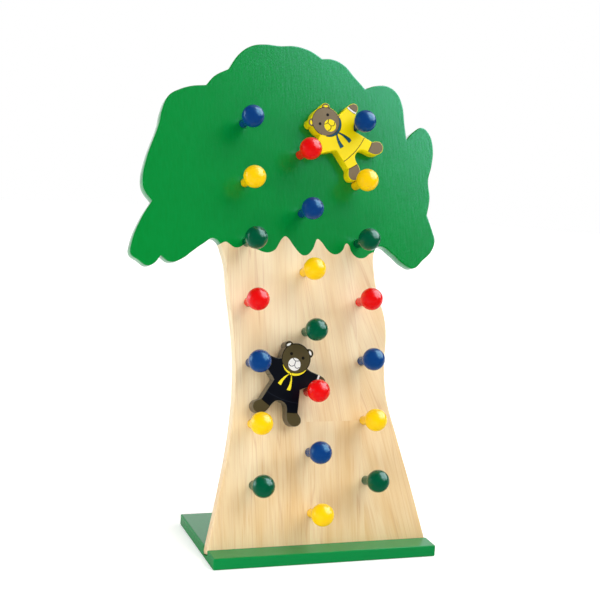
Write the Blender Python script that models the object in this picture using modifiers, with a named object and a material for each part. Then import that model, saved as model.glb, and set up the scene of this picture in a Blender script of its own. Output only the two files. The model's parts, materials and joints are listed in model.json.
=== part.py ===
"""Wooden tumbling toy: a leaning tree board with pegs, down which two flat bears tumble.

Metres, +Z up, the toy's front towards -Y. The origin is the middle of the base's underside.
The tree's face has a frame of its own: x across from the centre column of pegs, y up the slope
from the top of the base, and z out of the face towards the player.
"""
import math

import bmesh
import bpy
from mathutils import Matrix, Vector
from mathutils.geometry import interpolate_bezier, intersect_point_line

# Clearances
FIT_GAP = 0.0003
REST_GAP = 0.0003

# Tree board, measured along its own slope
TREE_HEIGHT = 0.656
TREE_WIDTH = 0.423
TREE_LEAN = math.radians(16)
BOARD_THICKNESS = 0.018
BOARD_EDGE_RADIUS = 0.0016

# Base plate and the slanted groove that holds the board
BASE_DEPTH = 0.172
BASE_THICKNESS = 0.015
BASE_EDGE_RADIUS = 0.0015
BASE_RIGHT_MARGIN = 0.003
FRONT_LEDGE = 0.031
GROOVE_FLOOR = 0.0032
GLUE_GAP = 0.002

# Pegs: a dowel glued into the board, and a drilled ball glued onto the dowel
PEG_ROWS = 14
COLUMN_SPACING = 0.077
LOWEST_PEG = 0.0394
TOP_PEG_MARGIN = 0.108
DOWEL_DIAMETER = 0.012
STEM_LENGTH = 0.028
DOWEL_IN_BOARD = 0.012
DOWEL_IN_BALL = 0.012
BALL_DIAMETER = 0.0295

# Bears, one sawn outline for both
BEAR_THICKNESS = 0.018
BEAR_EDGE_RADIUS = 0.0010
HEAD_RADIUS = 0.020
EAR_RADIUS = 0.006
EAR_ANGLE = math.radians(41.4)
EAR_DISTANCE = 0.0190
NECK_ANGLE = math.radians(-19)

# Countersunk screws from under the base into the board's foot
SCREW_COUNT = 3
SCREW_INSET = 0.040
SCREW_LENGTH = 0.035
SCREW_DIAMETER = 0.0035
SCREW_TIP = 0.005
SCREW_HEAD_DIAMETER = 0.007
SCREW_HEAD_HEIGHT = 0.0028
SCREW_HEAD_COVER = 0.0014
SCREW_HEAD_RIM = 0.0002
DRIVE_WIDTH = 0.0030
DRIVE_DEPTH = 0.0012
DRIVE_SIDES = 6

# Roughness of the finishes
BASE_ROUGHNESS = 0.45
FOLIAGE_ROUGHNESS = 0.4
LACQUER_ROUGHNESS = 0.15
BEAR_ROUGHNESS = 0.4
ZINC_ROUGHNESS = 0.35

# Roundness of the modelled shapes
TREE_CURVE_STEPS = 3
BEAR_CURVE_STEPS = 2
ARC_STEP = math.radians(22)
PEG_SIDES = 16
BOARD_BEVEL_STEPS = 2
BEAR_BEVEL_STEPS = 1
BALL_ARC_STEPS = 8
HANDLE_SHARE = 0.36
BEVEL_ANGLE = math.radians(50)
SHARP_ANGLE = math.radians(35)
MERGE_DISTANCE = 0.00001
FLAT_ANGLE = math.radians(0.2)

# The tree's outline in millimetres, clockwise from the foot's left end: smooth runs between sharp corners
TREE_RUNS = (
    ((-140, 0), (-121, 73), (-106, 141), (-98, 205), (-97, 250), (-103, 325), (-108, 374), (-120, 396),
     (-135, 389), (-151, 378), (-162, 370), (-179, 365), (-191, 373)),
    ((-191, 373), (-200, 363), (-209, 360), (-220, 367), (-230, 375), (-229, 388), (-214, 423), (-201, 443)),
    ((-201, 443), (-211, 457), (-213, 470), (-207, 498), (-190, 543), (-186, 560), (-176, 581), (-161, 590),
     (-145, 595), (-126, 597)),
    ((-126, 597), (-114, 610), (-95, 620)),
    ((-95, 620), (-79, 642), (-62, 653), (-43, 656), (-23, 655), (-2, 656), (19, 651), (36, 641)),
    ((36, 641), (51, 641), (67, 634), (81, 619), (96, 603)),
    ((96, 603), (112, 608), (130, 608), (143, 599), (150, 582), (152, 558), (154, 536)),
    ((154, 536), (165, 547), (178, 553), (188, 545), (193, 525), (190, 501), (184, 480), (185, 455), (180, 432)),
    ((180, 432), (187, 411), (190, 397), (184, 382), (171, 370), (157, 359), (145, 363), (127, 378), (112, 388),
     (104, 386), (99, 373), (99, 358), (101, 337), (104, 321), (110, 302), (113, 284), (113, 262), (110, 238),
     (109, 206), (111, 182), (123, 134), (142, 62), (157, 0)),
)

# One side of a bear below the neck, in millimetres from the middle of the head
BEAR_ARM = ((24, -8), (30, -8.4), (36, -8.5), (41, -9), (44.8, -10.4), (47.5, -13), (48.2, -16.5), (46.6, -20),
            (43, -22.2), (38, -23.4), (33, -25.6), (27, -29.8), (22, -33.2), (19, -36.2))
BEAR_LEG = ((19, -36.2), (21.5, -46), (25, -60), (26.5, -65), (30, -67.5), (33, -71), (34, -75), (32.6, -79.3),
            (29, -82.3), (25, -83.2), (20.5, -82.2), (16.2, -79.2), (13.3, -74.5), (9.3, -63.8), (6, -60), (0, -58.3))

# Colours of the peg rows from the top down: odd rows have a left and a right peg, even rows one in the centre
ROW_COLOURS = ("blue", "red", "yellow", "blue", "dark_green", "yellow", "red", "dark_green", "blue", "red",
               "yellow", "blue", "dark_green", "yellow")

# Where each bear lies: the peg it turns on, the peg it is stopped by, its lean and its head from the first peg
BEARS = {
    "yellow_bear": {"pivot": (1, 1), "stop": (1, 3), "lean": math.radians(47), "head": (-0.045, 0.0025)},
    "navy_bear": {"pivot": (0, 10), "stop": (-1, 9), "lean": math.radians(-22), "head": (-0.0214, 0.0415)},
}
LEAN_STEP = math.radians(1)
LEAN_TRIES = 40
MOVE_TRIES = 25
LEAST_CROSSING = 0.1
GAP_SLACK = 0.00003

COLOURS = {
    "blue": (15, 60, 130),
    "red": (225, 15, 20),
    "yellow": (253, 210, 5),
    "dark_green": (0, 85, 55),
    "foliage_green": (0, 150, 65),
    "base_green": (0, 145, 75),
    "navy": (15, 20, 35),
    "suit_yellow": (255, 232, 0),
    "zinc": (190, 190, 185),
}

# Sizes that follow from the ones above
MILLIMETRE = 0.001
ROW_SPACING = (TREE_HEIGHT - TOP_PEG_MARGIN - LOWEST_PEG) / (PEG_ROWS - 1)
DOWEL_RADIUS = DOWEL_DIAMETER / 2
BALL_RADIUS = BALL_DIAMETER / 2
GROOVE_WIDTH = BOARD_THICKNESS + 2 * FIT_GAP
GROOVE_DEPTH = (BASE_THICKNESS - GROOVE_FLOOR) / math.cos(TREE_LEAN) - GROOVE_WIDTH * math.tan(TREE_LEAN)
BOARD_FOOT = -(GROOVE_DEPTH - GLUE_GAP)


# Outlines

def smooth_run(points, steps):
    """Points of a smooth curve through the given points, with free ends, without its last point."""
    tangents = []
    for index, point in enumerate(points):
        before = points[max(index - 1, 0)]
        after = points[min(index + 1, len(points) - 1)]
        tangents.append((point - before).normalized() + (after - point).normalized())
    curve = []
    for start, end, leave, arrive in zip(points, points[1:], tangents, tangents[1:]):
        reach = HANDLE_SHARE * (end - start).length
        handles = (start + leave.normalized() * reach, end - arrive.normalized() * reach)
        curve += interpolate_bezier(start, *handles, end, steps + 1)[:-1]
    return curve


def arc(centre, radius, start, end):
    """Points along a circle between two angles, without the last one."""
    count = max(2, round(abs(end - start) / ARC_STEP))
    angles = [start + (end - start) * step / count for step in range(count)]
    return [centre + radius * Vector((math.cos(angle), math.sin(angle))) for angle in angles]


def angle_of(vector):
    return math.atan2(vector.y, vector.x)


def tree_outline():
    """The board's outline in metres, with its foot down in the groove."""
    drawn = [point for run in TREE_RUNS for point in run]
    scale_x = TREE_WIDTH / (max(point[0] for point in drawn) - min(point[0] for point in drawn))
    scale_y = TREE_HEIGHT / max(point[1] for point in drawn)
    outline = []
    for run in TREE_RUNS:
        outline += smooth_run([Vector((x * scale_x, y * scale_y)) for x, y in run], TREE_CURVE_STEPS)
    last = Vector((TREE_RUNS[-1][-1][0] * scale_x, 0))
    first = outline[0]
    return [Vector((first.x, BOARD_FOOT))] + outline + [last, Vector((last.x, BOARD_FOOT))]


def bear_outline():
    """A bear seen from the front, head up, with the middle of its head at the origin."""
    ear = EAR_DISTANCE * Vector((math.cos(EAR_ANGLE), math.sin(EAR_ANGLE)))
    along = (HEAD_RADIUS ** 2 - EAR_RADIUS ** 2 + EAR_DISTANCE ** 2) / (2 * EAR_DISTANCE)
    spread = math.acos(along / HEAD_RADIUS)
    centre = Vector((0, 0))
    upper = HEAD_RADIUS * Vector((math.cos(EAR_ANGLE + spread), math.sin(EAR_ANGLE + spread)))
    lower = HEAD_RADIUS * Vector((math.cos(EAR_ANGLE - spread), math.sin(EAR_ANGLE - spread)))
    half = arc(centre, HEAD_RADIUS, math.pi / 2, EAR_ANGLE + spread)
    half += arc(ear, EAR_RADIUS, angle_of(upper - ear), angle_of(lower - ear))
    half += arc(centre, HEAD_RADIUS, EAR_ANGLE - spread, NECK_ANGLE)
    neck = HEAD_RADIUS * Vector((math.cos(NECK_ANGLE), math.sin(NECK_ANGLE)))
    half += smooth_run([neck] + [Vector(point) * MILLIMETRE for point in BEAR_ARM], BEAR_CURVE_STEPS)
    half += smooth_run([Vector(point) * MILLIMETRE for point in BEAR_LEG], BEAR_CURVE_STEPS)
    crotch = Vector(BEAR_LEG[-1]) * MILLIMETRE
    other = [Vector((-point.x, point.y)) for point in reversed(half[1:])]
    return half + [crotch] + other


# Places on the tree's face

def row_columns(row):
    return (-1, 1) if row % 2 else (0,)


def peg_place(column, row):
    """Middle of a peg on the face; rows count from 1 at the top."""
    return Vector((column * COLUMN_SPACING, LOWEST_PEG + (PEG_ROWS - row) * ROW_SPACING))


def peg_places():
    return [(column, row) for row in range(1, PEG_ROWS + 1) for column in row_columns(row)]


def placed(outline, place, lean):
    turn = Matrix.Rotation(lean, 2)
    return [turn @ point + place for point in outline]


def way_to(outline, point):
    """Shortest way from a point outside a closed outline to that outline."""
    ways = []
    for start, end in zip(outline, outline[1:] + outline[:1]):
        spot, share = intersect_point_line(point, start, end)
        spot = start if share < 0 else end if share > 1 else spot
        ways.append(Vector(spot[:2]) - point)
    return min(ways, key=lambda way: way.length)


def touching_place(outline, pegs, start, lean):
    """Moves the bear without turning it until it lies the resting gap from both stems."""
    place = start.copy()
    reach = DOWEL_RADIUS + REST_GAP
    for _ in range(MOVE_TRIES):
        shape = placed(outline, place, lean)
        first, second = (way_to(shape, peg) for peg in pegs)
        rows = Matrix((first.normalized(), second.normalized()))
        if abs(rows.determinant()) < LEAST_CROSSING:
            break
        place += rows.inverted() @ Vector((reach - first.length, reach - second.length))
    return place


def rest_pose(outline, bear):
    """The place and lean nearest the wanted lean at which the bear touches its two pegs and clears the rest."""
    pegs = (peg_place(*bear["pivot"]), peg_place(*bear["stop"]))
    start = pegs[0] + Vector(bear["head"])
    least = DOWEL_RADIUS + REST_GAP - GAP_SLACK
    for step in range(LEAN_TRIES):
        for side in (1, -1):
            lean = bear["lean"] + side * step * LEAN_STEP
            place = touching_place(outline, pegs, start, lean)
            shape = placed(outline, place, lean)
            if min(way_to(shape, peg_place(*peg)).length for peg in peg_places()) > least:
                return place, lean
    return place, lean


# Blender helpers

def linear(colour):
    """Linear values of a colour given in 0-255 steps of the screen."""
    shares = [value / 255 for value in colour]
    return [share / 12.92 if share < 0.04045 else ((share + 0.055) / 1.055) ** 2.4 for share in shares]


def material(name, colour, roughness, metallic=0.0):
    made = bpy.data.materials.new(name)
    made.use_nodes = True
    shader = made.node_tree.nodes["Principled BSDF"]
    shader.inputs["Base Color"].default_value = (*linear(COLOURS[colour]), 1)
    shader.inputs["Roughness"].default_value = roughness
    shader.inputs["Metallic"].default_value = metallic
    made.diffuse_color = (*linear(COLOURS[colour]), 1)
    return made


def collection(name):
    made = bpy.data.collections.new(name)
    bpy.context.scene.collection.children.link(made)
    return made


def add_object(name, mesh, group, parent=None, location=(0, 0, 0), rotation=(0, 0, 0)):
    made = bpy.data.objects.new(name, mesh)
    group.objects.link(made)
    made.parent = parent
    made.location = location
    made.rotation_euler = rotation
    return made


def add_cutter(name, mesh, parent=None, location=(0, 0, 0), rotation=(0, 0, 0)):
    made = add_object(name, mesh, CUTTERS, parent, location, rotation)
    made.hide_render = True
    made.display_type = "WIRE"
    return made


def give_material(piece, finish):
    """Puts the material on the object, so that copies may share a mesh."""
    if not piece.data.materials:
        piece.data.materials.append(None)
    piece.material_slots[0].link = "OBJECT"
    piece.material_slots[0].material = finish


def bevel(piece, width, segments):
    rounding = piece.modifiers.new("rounded_edges", "BEVEL")
    rounding.width = width
    rounding.segments = segments
    rounding.limit_method = "ANGLE"
    rounding.angle_limit = BEVEL_ANGLE


def cut(piece, cutter):
    cutting = piece.modifiers.new(cutter.name, "BOOLEAN")
    cutting.operation = "DIFFERENCE"
    cutting.solver = "EXACT"
    cutting.object = cutter


def evaluated_mesh(piece):
    """The piece's mesh after its modifiers; the piece itself is removed."""
    bpy.context.view_layer.update()
    depsgraph = bpy.context.evaluated_depsgraph_get()
    mesh = bpy.data.meshes.new_from_object(piece.evaluated_get(depsgraph))
    bpy.data.objects.remove(piece)
    return mesh


def smooth_shading(mesh):
    mesh.shade_smooth()
    mesh.set_sharp_from_angle(angle=SHARP_ANGLE)


def box_mesh(name, size, middle=(0, 0, 0)):
    mesh = bpy.data.meshes.new(name)
    solid = bmesh.new()
    bmesh.ops.create_cube(solid, size=1, matrix=Matrix.Translation(middle) @ Matrix.Diagonal((*size, 1)))
    solid.to_mesh(mesh)
    solid.free()
    return mesh


def rod_mesh(name, radius, bottom, top, sides, places=((0, 0),)):
    """Upright rods between two heights, one at each place."""
    mesh = bpy.data.meshes.new(name)
    solid = bmesh.new()
    for x, y in places:
        middle = Matrix.Translation((x, y, (bottom + top) / 2))
        bmesh.ops.create_cone(solid, cap_ends=True, segments=sides, radius1=radius, radius2=radius,
                              depth=top - bottom, matrix=middle)
    solid.to_mesh(mesh)
    solid.free()
    return mesh


def plate_mesh(name, outline, thickness):
    """A flat outline sawn from a board, its back at height 0."""
    curve = bpy.data.curves.new(name, "CURVE")
    curve.dimensions = "2D"
    curve.fill_mode = "BOTH"
    curve.extrude = thickness / 2
    spline = curve.splines.new("POLY")
    spline.points.add(len(outline) - 1)
    for point, spot in zip(spline.points, outline):
        point.co = (spot.x, spot.y, 0, 1)
    spline.use_cyclic_u = True
    mesh = evaluated_mesh(add_object(name, curve, PARTS))
    solid = bmesh.new()
    solid.from_mesh(mesh)
    bmesh.ops.remove_doubles(solid, verts=solid.verts, dist=MERGE_DISTANCE)
    bmesh.ops.dissolve_limit(solid, angle_limit=FLAT_ANGLE, verts=solid.verts, edges=solid.edges)
    bmesh.ops.recalc_face_normals(solid, faces=solid.faces)
    bmesh.ops.translate(solid, verts=solid.verts, vec=(0, 0, thickness / 2))
    solid.to_mesh(mesh)
    solid.free()
    return mesh


def turned_mesh(name, profile, sides):
    """Turns a profile of (radius, height) points round the Z axis; it runs down the outer side."""
    mesh = bpy.data.meshes.new(name)
    edges = [(index, index + 1) for index in range(len(profile) - 1)]
    mesh.from_pydata([(radius, 0, height) for radius, height in profile], edges, [])
    piece = add_object(name, mesh, PARTS)
    turning = piece.modifiers.new("turned", "SCREW")
    turning.steps = sides
    turning.render_steps = sides
    turning.use_merge_vertices = True
    turning.merge_threshold = MERGE_DISTANCE
    return evaluated_mesh(piece)


# Sub-parts

def make_base(frame, foot_left, foot_right, screw_holes):
    """Flat green base with a through groove slanted like the board."""
    width = foot_right - foot_left + BASE_RIGHT_MARGIN
    mesh = box_mesh("base_plate", (width, BASE_DEPTH, BASE_THICKNESS), (0, 0, BASE_THICKNESS / 2))
    base = add_object("base_plate", mesh, PARTS)
    bevel(base, BASE_EDGE_RADIUS, BOARD_BEVEL_STEPS)
    groove_size = (2 * width, 2 * GROOVE_DEPTH, GROOVE_WIDTH)
    groove = add_cutter("groove_cutter", box_mesh("groove_cutter", groove_size), frame,
                        (0, 0, FIT_GAP - GROOVE_WIDTH / 2))
    cut(base, groove)
    for hole in screw_holes:
        cut(base, hole)
    give_material(base, material("base_paint", "base_green", BASE_ROUGHNESS))


def make_board(frame, outline, screw_holes):
    """The tree, one board sawn to shape, with blind holes for the dowels."""
    mesh = plate_mesh("tree_board", outline, BOARD_THICKNESS)
    board = add_object("tree_board", mesh, PARTS, frame, (0, 0, -BOARD_THICKNESS))
    bevel(board, BOARD_EDGE_RADIUS, BOARD_BEVEL_STEPS)
    places = [peg_place(*peg) for peg in peg_places()]
    depth = DOWEL_IN_BOARD + FIT_GAP
    holes = rod_mesh("peg_hole_cutter", DOWEL_RADIUS + FIT_GAP, -depth, depth, PEG_SIDES, places)
    cut(board, add_cutter("peg_hole_cutter", holes, frame))
    for hole in screw_holes:
        cut(board, hole)
    give_material(board, material("foliage_paint", "foliage_green", FOLIAGE_ROUGHNESS))


def ball_profile():
    """Ball from its far pole down to the rim of the bore, and in along the bore."""
    bore = DOWEL_RADIUS + FIT_GAP
    rim = math.asin(bore / BALL_RADIUS)
    angles = [(math.pi - rim) * step / BALL_ARC_STEPS for step in range(BALL_ARC_STEPS + 1)]
    outside = [(BALL_RADIUS * math.sin(angle), BALL_RADIUS * math.cos(angle)) for angle in angles]
    bore_end = -BALL_RADIUS + DOWEL_IN_BALL + FIT_GAP
    return outside + [(bore, bore_end), (0, bore_end)]


def make_pegs(frame):
    """A dowel and a ball at each place, both dipped in the row's colour."""
    finishes = {name: material(name + "_lacquer", name, LACQUER_ROUGHNESS)
                for name in sorted(set(ROW_COLOURS))}
    dowel_mesh = rod_mesh("dowel", DOWEL_RADIUS, -DOWEL_IN_BOARD, STEM_LENGTH + DOWEL_IN_BALL, PEG_SIDES)
    ball_mesh = turned_mesh("ball", ball_profile(), PEG_SIDES)
    smooth_shading(dowel_mesh)
    smooth_shading(ball_mesh)
    sides = {-1: "left", 0: "centre", 1: "right"}
    for column, row in peg_places():
        place = peg_place(column, row)
        label = f"{row:02d}_{sides[column]}"
        finish = finishes[ROW_COLOURS[(row - 1) % len(ROW_COLOURS)]]
        dowel = add_object("dowel_" + label, dowel_mesh, PARTS, frame, (*place, 0))
        ball = add_object("ball_" + label, ball_mesh, PARTS, frame, (*place, STEM_LENGTH + BALL_RADIUS))
        give_material(dowel, finish)
        give_material(ball, finish)


def make_bears(frame):
    """Two flat bears lying loose on the board between the pegs."""
    outline = bear_outline()
    mesh = plate_mesh("bear", outline, BEAR_THICKNESS)
    finishes = {"yellow_bear": material("yellow_suit", "suit_yellow", BEAR_ROUGHNESS),
                "navy_bear": material("navy_suit", "navy", BEAR_ROUGHNESS)}
    for name, bear in BEARS.items():
        place, lean = rest_pose(outline, bear)
        pivot_place = peg_place(*bear["pivot"])
        pivot = add_object(name + "_pivot", None, PARTS, frame, (*pivot_place, 0))
        piece = add_object(name, mesh, PARTS, pivot, (*(place - pivot_place), FIT_GAP), (0, 0, lean))
        bevel(piece, BEAR_EDGE_RADIUS, BEAR_BEVEL_STEPS)
        give_material(piece, finishes[name])


def screw_profile(clearance, below):
    """Screw from its point down to its flat head, grown by a clearance and drawn on below the head."""
    shank = SCREW_DIAMETER / 2 + clearance
    head = SCREW_HEAD_DIAMETER / 2 + clearance
    length = SCREW_LENGTH + clearance
    return [(0, length), (shank, length - SCREW_TIP), (shank, SCREW_HEAD_HEIGHT), (head, 0), (head, -below),
            (0, -below)]


def screw_places(foot_left, foot_right):
    """Middle of each screw's head: under the middle of the board's edge, below the groove."""
    head = -GROOVE_DEPTH - SCREW_HEAD_COVER - SCREW_HEAD_HEIGHT
    span = foot_right - foot_left - 2 * SCREW_INSET
    across = [foot_left + SCREW_INSET + span * index / (SCREW_COUNT - 1) for index in range(SCREW_COUNT)]
    return [(x, head, -BOARD_THICKNESS / 2) for x in across]


def make_screw_holes(frame, places):
    profile = screw_profile(FIT_GAP, BASE_THICKNESS)
    mesh = turned_mesh("screw_hole_cutter", profile, PEG_SIDES)
    upward = (math.radians(-90), 0, 0)
    return [add_cutter(f"screw_hole_cutter_{index}", mesh, frame, place, upward)
            for index, place in enumerate(places, 1)]


def make_screws(frame, places):
    """Screws along the slope, with a hexagonal socket in the head."""
    blank = add_object("screw", turned_mesh("screw", screw_profile(0, SCREW_HEAD_RIM), PEG_SIDES), PARTS)
    socket = add_cutter("screw_socket_cutter", rod_mesh("screw_socket_cutter", DRIVE_WIDTH / 2, -DRIVE_DEPTH,
                                                        DRIVE_DEPTH, DRIVE_SIDES))
    cut(blank, socket)
    mesh = evaluated_mesh(blank)
    smooth_shading(mesh)
    zinc = material("zinc_plate", "zinc", ZINC_ROUGHNESS, metallic=1.0)
    upward = (math.radians(-90), 0, 0)
    for index, place in enumerate(places, 1):
        give_material(add_object(f"base_screw_{index}", mesh, PARTS, frame, place, upward), zinc)


def build_toy():
    outline = tree_outline()
    foot_left = outline[0].x
    foot_right = outline[-1].x
    middle = (foot_left + foot_right + BASE_RIGHT_MARGIN) / 2
    face_foot = (-middle, -BASE_DEPTH / 2 + FRONT_LEDGE, BASE_THICKNESS)
    upright = math.radians(90) - TREE_LEAN
    frame = add_object("board_frame", None, PARTS, None, face_foot, (upright, 0, 0))
    places = screw_places(foot_left, foot_right)
    screw_holes = make_screw_holes(frame, places)
    make_base(frame, foot_left, foot_right, screw_holes)
    make_board(frame, outline, screw_holes)
    make_pegs(frame)
    make_bears(frame)
    make_screws(frame, places)


for old in list(bpy.data.objects):
    bpy.data.objects.remove(old, do_unlink=True)
PARTS = collection("wooden_tumbling_toy")
CUTTERS = collection("cutters")
build_toy()
bpy.context.view_layer.update()
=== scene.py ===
"""Looks for the wooden tumbling toy: sawn board, turned pegs, printed bears, paints and lights.

Shapes are drawn in millimetres in the frame of the tree's face: x across from the centre column
of pegs, y up the slope from the top of the base, z out of the face. A bear's own shapes are drawn
head up, from the middle of its head.
"""
import json
import math

import bmesh
import bpy
from mathutils import Matrix, Vector
from mathutils.geometry import delaunay_2d_cdt, interpolate_bezier, intersect_point_line


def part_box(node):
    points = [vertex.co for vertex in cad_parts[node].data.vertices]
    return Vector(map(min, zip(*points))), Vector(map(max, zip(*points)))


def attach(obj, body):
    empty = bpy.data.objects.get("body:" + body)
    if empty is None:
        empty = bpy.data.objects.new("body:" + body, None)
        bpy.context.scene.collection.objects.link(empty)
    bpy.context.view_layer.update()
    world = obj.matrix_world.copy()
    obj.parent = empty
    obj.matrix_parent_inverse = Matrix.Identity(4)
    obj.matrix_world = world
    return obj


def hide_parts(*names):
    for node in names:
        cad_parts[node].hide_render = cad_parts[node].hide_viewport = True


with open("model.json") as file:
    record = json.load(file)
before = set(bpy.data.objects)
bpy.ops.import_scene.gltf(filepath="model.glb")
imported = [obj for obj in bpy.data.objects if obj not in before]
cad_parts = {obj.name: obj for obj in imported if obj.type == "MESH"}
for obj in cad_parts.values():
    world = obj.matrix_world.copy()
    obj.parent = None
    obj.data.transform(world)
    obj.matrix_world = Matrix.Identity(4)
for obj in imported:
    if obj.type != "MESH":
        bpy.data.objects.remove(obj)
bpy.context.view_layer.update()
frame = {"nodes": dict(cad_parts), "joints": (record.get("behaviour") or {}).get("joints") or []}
MILLIMETRE = 0.001

# Tree board, the same outline as the solid with finer curves
TREE_HEIGHT = 656
TREE_WIDTH = 423
BOARD_EDGE_RADIUS = 1.6
PEG_HOLE_GAP = 0.15
PEG_HOLE_DEPTH = 12.3
TREE_RUNS = (
    ((-140, 0), (-121, 73), (-106, 141), (-98, 205), (-97, 250), (-103, 325), (-108, 374), (-120, 396),
     (-135, 389), (-151, 378), (-162, 370), (-179, 365), (-191, 373)),
    ((-191, 373), (-200, 363), (-209, 360), (-220, 367), (-230, 375), (-229, 388), (-214, 423),
     (-201, 443)),
    ((-201, 443), (-211, 457), (-213, 470), (-207, 498), (-190, 543), (-186, 560), (-176, 581),
     (-161, 590), (-145, 595), (-126, 597)),
    ((-126, 597), (-114, 610), (-95, 620)),
    ((-95, 620), (-79, 642), (-62, 653), (-43, 656), (-23, 655), (-2, 656), (19, 651), (36, 641)),
    ((36, 641), (51, 641), (67, 634), (81, 619), (96, 603)),
    ((96, 603), (112, 608), (130, 608), (143, 599), (150, 582), (152, 558), (154, 536)),
    ((154, 536), (165, 547), (178, 553), (188, 545), (193, 525), (190, 501), (184, 480), (185, 455),
     (180, 432)),
    ((180, 432), (187, 411), (190, 397), (184, 382), (171, 370), (157, 359), (145, 363), (127, 378),
     (112, 388), (104, 386), (99, 373), (99, 358), (101, 337), (104, 321), (110, 302), (113, 284),
     (113, 262), (110, 238), (109, 206), (111, 182), (123, 134), (142, 62), (157, 0)),
)

# Lower edge of the foliage paint, and the rest of the painted region round the crown
PAINT_EDGE = (
    (-125, 386), (-113, 388.7), (-105.3, 391.6), (-99.9, 388.7), (-95.3, 385.3), (-90.6, 384.3),
    (-86, 385.3), (-79, 389), (-69, 384.8), (-61.2, 381.4), (-51.2, 378.3), (-44.2, 379.2),
    (-38, 382.8), (-34.2, 388.7), (-27.2, 398.4), (-24.1, 400), (-21, 398.4), (-13.3, 387.9),
    (-2.5, 376), (1.4, 374.9), (6.1, 376), (11.5, 380.9), (15.3, 387.1), (17.7, 393.3), (20.4, 397),
    (23.1, 395.9), (34.7, 381.7), (40.1, 377.8), (45.5, 376.8), (50.9, 378.6), (56.3, 383.7),
    (59.4, 390.2), (61.3, 391.5), (64.1, 389.9), (67.1, 381.7), (72.6, 374.7), (79.5, 372),
    (87.3, 373.2), (93.4, 377.8), (106, 383),
)
CROWN_AROUND = ((112, 340), (300, 340), (300, 700), (-300, 700), (-300, 340), (-125, 340))

# Bears, the same sawn outline as the solids with finer curves
HEAD_RADIUS = 20
EAR_RADIUS = 6
EAR_ANGLE = math.radians(41.4)
EAR_DISTANCE = 19
NECK_ANGLE = math.radians(-19)
BEAR_EDGE_RADIUS = 1.0
BEAR_LEANS = {"yellow_bear": math.radians(47), "navy_bear": math.radians(-22)}
BEAR_ARM = (
    (24, -8), (30, -8.4), (36, -8.5), (41, -9), (44.8, -10.4), (47.5, -13), (48.2, -16.5), (46.6, -20),
    (43, -22.2), (38, -23.4), (33, -25.6), (27, -29.8), (22, -33.2), (19, -36.2),
)
BEAR_LEG = (
    (19, -36.2), (21.5, -46), (25, -60), (26.5, -65), (30, -67.5), (33, -71), (34, -75),
    (32.6, -79.3), (29, -82.3), (25, -83.2), (20.5, -82.2), (16.2, -79.2), (13.3, -74.5),
    (9.3, -63.8), (6, -60), (0, -58.3),
)

# What is printed on a bear's front
CHIN_RADIUS = 19
CHIN_ANGLE = math.radians(-24)
HEAD_TOP_ANGLE = math.radians(-8)
SCARF_CENTRE = Vector((0.85, -4.8))
SCARF_RADIUS = 17.7
SCARF_SPAN = (math.radians(216), math.radians(334))
KNOT_CENTRE = (-0.4, -21.2)
KNOT_RADIUS = 1.7
SCARF_TAILS = (
    ((-1.2, -22), (-3.6, -26), (-6.1, -32.3), (-7.4, -39.8), (-12.8, -38.3), (-10, -31.8),
     (-7.1, -26.7), (-3.4, -22.5)),
    ((0.6, -22.6), (2.4, -22.9), (5, -29.4), (6.9, -38.2), (6.6, -42), (1.5, -42.3), (2.4, -35.4),
     (2.2, -29)),
)
SLEEVE_END = ((35.6, -5), (35.1, -12), (36, -19), (38.4, -25.5))
HAND_START = ((38.9, -5), (38.3, -12), (39.2, -19), (41.8, -25.5))
HAND_REACH = 60
FOOT_EDGE = ((8, -70.2), (14, -68.6), (21, -66.5), (28, -63.8))
FOOT_AROUND = ((50, -60), (50, -95), (8, -95))
HEM = ((-27, -52.3), (-15, -54.8), (0, -56), (12, -55), (27, -52))
MUZZLE_CENTRE = Vector((0.3, -7.8))
MUZZLE_RADIUS = 8.3
NOSE = ((-4.2, -0.8), (-1.8, -2.4), (0.6, -3), (3, -2.2), (5.2, -0.8))
NOSE_TO_MOUTH = ((0.6, -3), (0.8, -9.3))
MOUTH = ((-7, -9.8), (-5, -11.2), (-2, -11.2), (0.8, -9.3), (3.4, -11.3), (6, -11), (8, -9))
EYES = (Vector((-8.1, 3.7)), Vector((8.6, 4)))
EYE_RADIUS = 2.0
EAR_RING_HALF = math.radians(100)
INNER_EAR_DISTANCE = 20.6
INNER_EAR_SIZE = (1.45, 3.1)
PRINT_LINE = 1.0
THIN_PRINT_LINE = 0.6
CONTOUR_LINE = 0.35

# Roundness of the meshes
TREE_CURVE_STEPS = 8
BEAR_CURVE_STEPS = 6
PAINT_CURVE_STEPS = 4
ARC_STEP = math.radians(7)
EDGE_STEPS = 4
PRINTED_EDGE_STEPS = 1
HANDLE_SHARE = 0.36
PEG_SIDES = 64
BALL_ARC_STEPS = 36
COLLAR_STEPS = 6
SHARP_ANGLE = math.radians(25)
MERGE_DISTANCE = 0.00001

# Cutting of the fronts: how near two corners are one, and what comes out, triangles inside the shapes
CROSSING_SLACK = 0.0001
TRIANGLES_INSIDE = 1

# Pegs
COLLAR_RADIUS = 1.2
BORE_GAP = 0.05
BORE_DEPTH = 12.3
PEG_COLOURS = (
    "blue", "red", "yellow", "blue", "dark_green", "yellow", "red", "dark_green", "blue", "red",
    "yellow", "blue", "dark_green", "yellow",
)

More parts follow.
